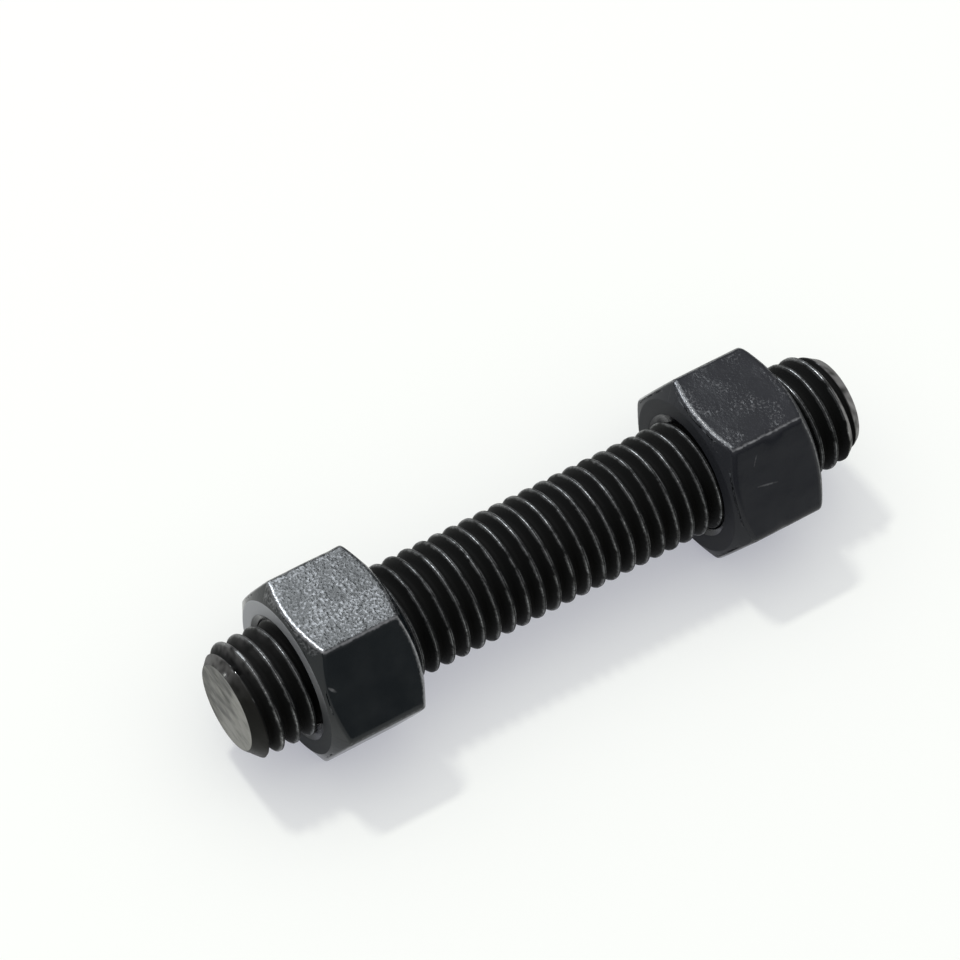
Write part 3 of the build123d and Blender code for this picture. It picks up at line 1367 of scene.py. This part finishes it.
@dataclass
class Studio:
    """Pale floor, a room that is darker round its walls, one lamp, a soft panel and the camera."""

    azimuth: float = -36.085
    elevation: float = 53.040
    roll: float = 3.806
    distance: float = 430.32 * MM
    slide_right: float = 5.378 * MM
    slide_up: float = -7.032 * MM
    slide_along: float = -0.35 * MM
    lens: float = 164.91
    sensor: float = 36.0
    clip: tuple[float, float] = (0.01, 20.0)
    floor_reach: float = 3.0
    wall_level: float = 0.13
    ceiling_level: float = 1.21
    room_colour: str = "#ffffff"
    lamp_direction: tuple[float, float, float] = (-0.088, 0.467, 0.880)
    lamp_distance: float = 1.2
    lamp_size: tuple[float, float] = (0.16, 0.09)
    lamp_power: float = 4.6
    panel_direction: tuple[float, float, float] = (0.0, 0.53, 0.848)
    panel_distance: float = 350.0 * MM
    panel_size: tuple[float, float] = (285.0 * MM, 400.0 * MM)
    panel_slide: tuple[float, float] = (-24.0 * MM, 50.0 * MM)
    panel_level: float = 7.1
    panel_colour: str = "#f4fbff"

    def set_camera(self) -> None:
        """Stand the camera where it looks down on the stud from the near nut's side."""
        a, e, roll = (math.radians(v) for v in (self.azimuth, self.elevation, self.roll))
        back = Vector((math.sin(a) * math.cos(e), -math.cos(a) * math.cos(e), math.sin(e)))
        level = Vector((math.cos(a), math.sin(a), 0.0))
        up = back.cross(level)
        right = level * math.cos(roll) + up * math.sin(roll)
        top = up * math.cos(roll) - level * math.sin(roll)
        data = bpy.data.cameras.new("camera")
        data.lens, data.sensor_width = self.lens, self.sensor
        data.clip_start, data.clip_end = self.clip
        camera = bpy.data.objects.new("camera", data)
        place = back * self.distance - right * self.slide_right - top * self.slide_up
        place.x += self.slide_along
        turn = Matrix((right, top, back)).transposed().to_4x4()
        camera.matrix_world = Matrix.Translation(place) @ turn
        bpy.context.scene.collection.objects.link(camera)
        bpy.context.scene.camera = camera

    def set_floor(self, level: float) -> None:
        """Lay a matte pale board under the nuts.

        Args:
            level: Height of the board's top.
        """
        signs = np.array([(-1, -1), (1, -1), (1, 1), (-1, 1)])
        corners = np.column_stack([signs * self.floor_reach, np.full(len(signs), level)])
        floor = mesh_object("floor", corners, [(0, 1, 2, 3)])
        floor.data.materials.append(MatteCard().material())
        floor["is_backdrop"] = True

    def set_room(self) -> None:
        """Light the room softly from above, with darker walls that the black steel mirrors."""
        world = bpy.data.worlds.new("soft_room")
        world.use_nodes = True
        world.node_tree.nodes.clear()
        add = partial(add_node, world.node_tree)
        direction = add("ShaderNodeTexCoord", out="Generated")
        climb = add("ShaderNodeSeparateXYZ", None, {0: direction}, "Z")
        level = add("ShaderNodeMapRange", None, {
            "Value": climb, "To Min": self.wall_level, "To Max": self.ceiling_level,
        })
        sky = add("ShaderNodeBackground", None, {"Color": linear(self.room_colour), "Strength": level})
        add("ShaderNodeOutputWorld", None, {"Surface": sky})
        bpy.context.scene.world = world

    def hang_light(
        self, name: str, shape: LightShape, size: tuple[float, float], toward: Vector, place: Vector,
        power: float,
    ) -> bpy.types.Object:
        """Hang one area light that shines back along the direction it hangs in.

        Args:
            name: The light's name.
            shape: Its outline.
            size: Width and height.
            toward: Direction from the stud to the light.
            place: Where it hangs.
            power: Its power in watts.

        Returns:
            The light's object.
        """
        data = bpy.data.lights.new(name, "AREA")
        data.shape = shape.value
        data.size, data.size_y = size
        data.energy = power
        light = bpy.data.objects.new(name, data)
        light.location = place
        light.rotation_mode = "QUATERNION"
        light.rotation_quaternion = toward.to_track_quat("Z", "Y")
        light.visible_camera = False
        bpy.context.scene.collection.objects.link(light)
        return light

    def set_lights(self) -> None:
        """Hang the lamp that casts the shadow and the soft panel that the gloss mirrors."""
        toward = Vector(self.lamp_direction).normalized()
        place = toward * self.lamp_distance
        self.hang_light("lamp", LightShape.OVAL, self.lamp_size, toward, place, self.lamp_power)
        toward = Vector(self.panel_direction).normalized()
        along = Vector((1.0, 0.0, 0.0))
        fall = along.cross(toward)
        place = toward * self.panel_distance + along * self.panel_slide[0] - fall * self.panel_slide[1]
        # An area light of this power looks as bright as a surface that glows at the level.
        power = self.panel_level * math.pi * self.panel_size[0] * self.panel_size[1]
        panel = self.hang_light("soft_panel", LightShape.OBLONG, self.panel_size, toward, place, power)
        panel.data.color = linear(self.panel_colour)[:3]
        panel.visible_diffuse = False


def main() -> None:
    """Build the stud, its nuts and the studio, and report each piece."""
    logging.basicConfig(level=logging.INFO, format="%(name)s: %(message)s")
    cad_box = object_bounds()
    bpy.context.scene.view_settings.view_transform = "Standard"

    bar = ThreadedStud()
    near = HexNut(
        "near_nut", bar.thread, seed=31,
        rubs=(FlatRub(150.0, -4.4 * MM, 1.2 * MM, -48.0, 0.75 * MM, 0.22 * MM, 0.45),),
        low_rim_wear=(1.1, 0.3, 0.5, 0.6, 0.5, 0.7), high_rim_wear=(0.35, 0.9, 0.5, 0.6, 0.5, 0.7),
        corner_wear=(0.72, 0.5, 0.6, 0.6, 0.5, 0.6), corners=(0.65, 1.1, 0.7, 0.65, 0.8, 0.7),
        skin=(1.0, 0.05, 0.3, 0.6, 0.3, 0.2), edge_width=0.33 * MM, raggedness=0.35,
        oxide="#0e1418", gloss=0.3, turned_by=2.5, face_wear_and_reflection=1.0,
    )
    far = HexNut(
        "far_nut", bar.thread, seed=47,
        rubs=(
            FlatRub(150.0, -2.0 * MM, 3.1 * MM, 62.0, 0.9 * MM, 0.12 * MM, 0.22),
            FlatRub(150.0, -1.3 * MM, 0.1 * MM, -12.0, 1.6 * MM, 0.17 * MM, 0.28),
        ),
        low_rim_wear=(0.62, 0.25, 0.5, 0.6, 0.5, 0.7), high_rim_wear=(0.42, 0.62, 0.5, 0.6, 0.5, 0.7),
        corner_wear=(0.75, 0.5, 0.6, 0.6, 0.5, 0.6), corners=(0.95, 0.8, 0.8, 0.7, 0.8, 0.95),
        skin=(0.59, 0.05, 0.2, 0.4, 0.2, 0.15), edge_width=0.26 * MM, raggedness=0.4,
        oxide="#191b21", gloss=0.27, patchiness=0.4, dull_chamfer=0.8, flat_rounding=0.8 * MM,
    )
    for maker in (bar, near, far):
        piece = maker.build()
        maker.dress(piece)
        log.info("%s: %d faces", piece.name, len(piece.data.polygons))

    studio = Studio()
    studio.set_floor(cad_box[0].z)
    studio.set_room()
    studio.set_lights()
    studio.set_camera()


if __name__ == "__main__":
    main()
